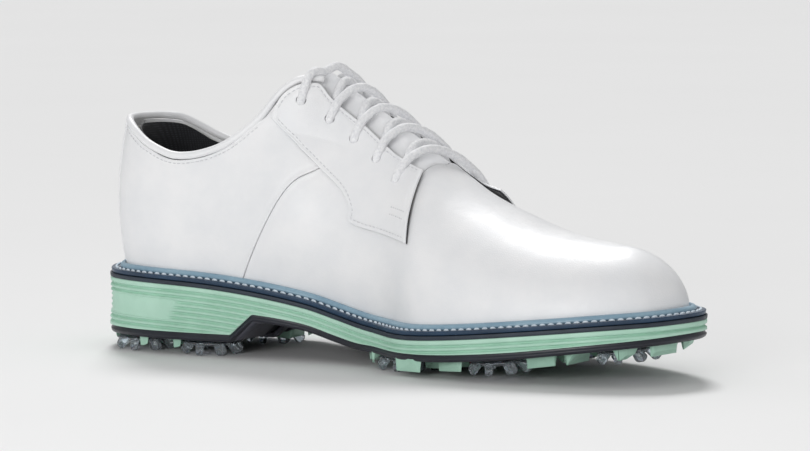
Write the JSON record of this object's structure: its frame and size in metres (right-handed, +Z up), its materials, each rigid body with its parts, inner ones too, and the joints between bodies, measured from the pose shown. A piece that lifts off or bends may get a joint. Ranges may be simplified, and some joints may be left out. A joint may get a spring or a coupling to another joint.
{
  "type": "golf shoe",
  "caption": "Left golf shoe in smooth leather with a stitched welt, grooved midsole and a lugged outsole carrying clear twist-lock spikes.",
  "frame": {"origin": "on the ground under the middle of the shoe box", "axes": "+X heel to toe, +Y to the outer side of the foot, +Z up"},
  "size_m": [0.2992, 0.1142, 0.1316],
  "materials": {
    "outsole_tpu": "satin",
    "mint_tpu": "satin",
    "grey_tpu": "satin",
    "silver_trim": "polished",
    "black_gloss": "gloss",
    "midsole_foam": "matte",
    "navy_edge": "matte",
    "blue_welt": "satin",
    "stitch_thread": "matte",
    "spring_steel": "brushed",
    "fibre_board": "matte",
    "sock_fabric": "matte",
    "white_leather": "satin",
    "dark_lining": "matte",
    "foam": "matte",
    "counter_board": "matte",
    "puff_board": "matte",
    "lace_cord": "matte",
    "aglet_plastic": "gloss",
    "receptacle_plastic": "matte",
    "clear_tpu": "clear",
    "frosted_tpu": "satin"
  },
  "bodies": {
    "shoe": {"outsole": "outsole_tpu", "forefoot_lugs": "mint_tpu", "heel_lugs": "mint_tpu", "arch_bridge": "grey_tpu", "badge_bezel": "silver_trim", "badge_window": "black_gloss", "heel_breast_pads": "grey_tpu", "midsole": "midsole_foam", "welt_edge": "navy_edge", "welt": "blue_welt", "welt_stitching": "stitch_thread", "rand": "blue_welt", "shank": "spring_steel", "insole_board": "fibre_board", "vamp": "white_leather", "medial_quarter": "white_leather", "lateral_quarter": "white_leather", "medial_facing": "white_leather", "lateral_facing": "white_leather", "backstay": "white_leather", "collar_binding": "white_leather", "vamp_lining": "dark_lining", "quarter_lining": "dark_lining", "collar_padding": "foam", "heel_counter": "counter_board", "toe_puff": "puff_board", "lace": "lace_cord", "aglets": "aglet_plastic", "spike_receptacles": "receptacle_plastic"},
    "tongue": {"tongue": "white_leather", "tongue_lining": "dark_lining"},
    "sock_liner": {"sock_liner": "sock_fabric"},
    "spike_ball_outer": {"spike_1": "clear_tpu", "core_1": "frosted_tpu"},
    "spike_toe_outer": {"spike_2": "clear_tpu", "core_2": "frosted_tpu"},
    "spike_toe_tip": {"spike_3": "clear_tpu", "core_3": "frosted_tpu"},
    "spike_toe_inner": {"spike_4": "clear_tpu", "core_4": "frosted_tpu"},
    "spike_ball_inner": {"spike_5": "clear_tpu", "core_5": "frosted_tpu"},
    "spike_heel_back_outer": {"spike_6": "clear_tpu", "core_6": "frosted_tpu"},
    "spike_heel_front_outer": {"spike_7": "clear_tpu", "core_7": "frosted_tpu"},
    "spike_heel_back_inner": {"spike_8": "clear_tpu", "core_8": "frosted_tpu"},
    "spike_heel_front_inner": {"spike_9": "clear_tpu", "core_9": "frosted_tpu"}
  },
  "joints": [
    {"name": "twist_ball_outer", "type": "hinge", "parent": "shoe", "child": "spike_ball_outer", "pos_m": [0.02, 0.03807, 0.00698], "axis": [0, 0, 1], "range_deg": [0, 60]},
    {"name": "twist_toe_outer", "type": "hinge", "parent": "shoe", "child": "spike_toe_outer", "pos_m": [0.0745, 0.02557, 0.01], "axis": [-0.0872, 0, 0.9962], "range_deg": [0, 60]},
    {"name": "twist_toe_tip", "type": "hinge", "parent": "shoe", "child": "spike_toe_tip", "pos_m": [0.12, -0.01693, 0.01546], "axis": [-0.1305, 0, 0.9914], "range_deg": [0, 60]},
    {"name": "twist_toe_inner", "type": "hinge", "parent": "shoe", "child": "spike_toe_inner", "pos_m": [0.068, -0.03593, 0.00939], "axis": [-0.0698, 0, 0.9976], "range_deg": [0, 60]},
    {"name": "twist_ball_inner", "type": "hinge", "parent": "shoe", "child": "spike_ball_inner", "pos_m": [0.0175, -0.02643, 0.00696], "axis": [0, 0, 1], "range_deg": [0, 60]},
    {"name": "twist_heel_back_outer", "type": "hinge", "parent": "shoe", "child": "spike_heel_back_outer", "pos_m": [-0.1225, 0.02257, 0.007], "axis": [0, 0, 1], "range_deg": [0, 60]},
    {"name": "twist_heel_front_outer", "type": "hinge", "parent": "shoe", "child": "spike_heel_front_outer", "pos_m": [-0.0865, 0.03007, 0.007], "axis": [0, 0, 1], "range_deg": [0, 60]},
    {"name": "twist_heel_back_inner", "type": "hinge", "parent": "shoe", "child": "spike_heel_back_inner", "pos_m": [-0.124, -0.01993, 0.007], "axis": [0, 0, 1], "range_deg": [0, 60]},
    {"name": "twist_heel_front_inner", "type": "hinge", "parent": "shoe", "child": "spike_heel_front_inner", "pos_m": [-0.088, -0.02143, 0.007], "axis": [0, 0, 1], "range_deg": [0, 60]},
    {"name": "tongue_fold", "type": "hinge", "parent": "shoe", "child": "tongue", "pos_m": [0.034, 0.00307, 0.066], "axis": [0, -1, 0], "range_deg": [0, 8]},
    {"name": "sock_liner_lift", "type": "hinge", "parent": "shoe", "child": "sock_liner", "pos_m": [0.1395, 0, 0.034], "axis": [0, 1, 0], "range_deg": [0, 3]}
  ]
}
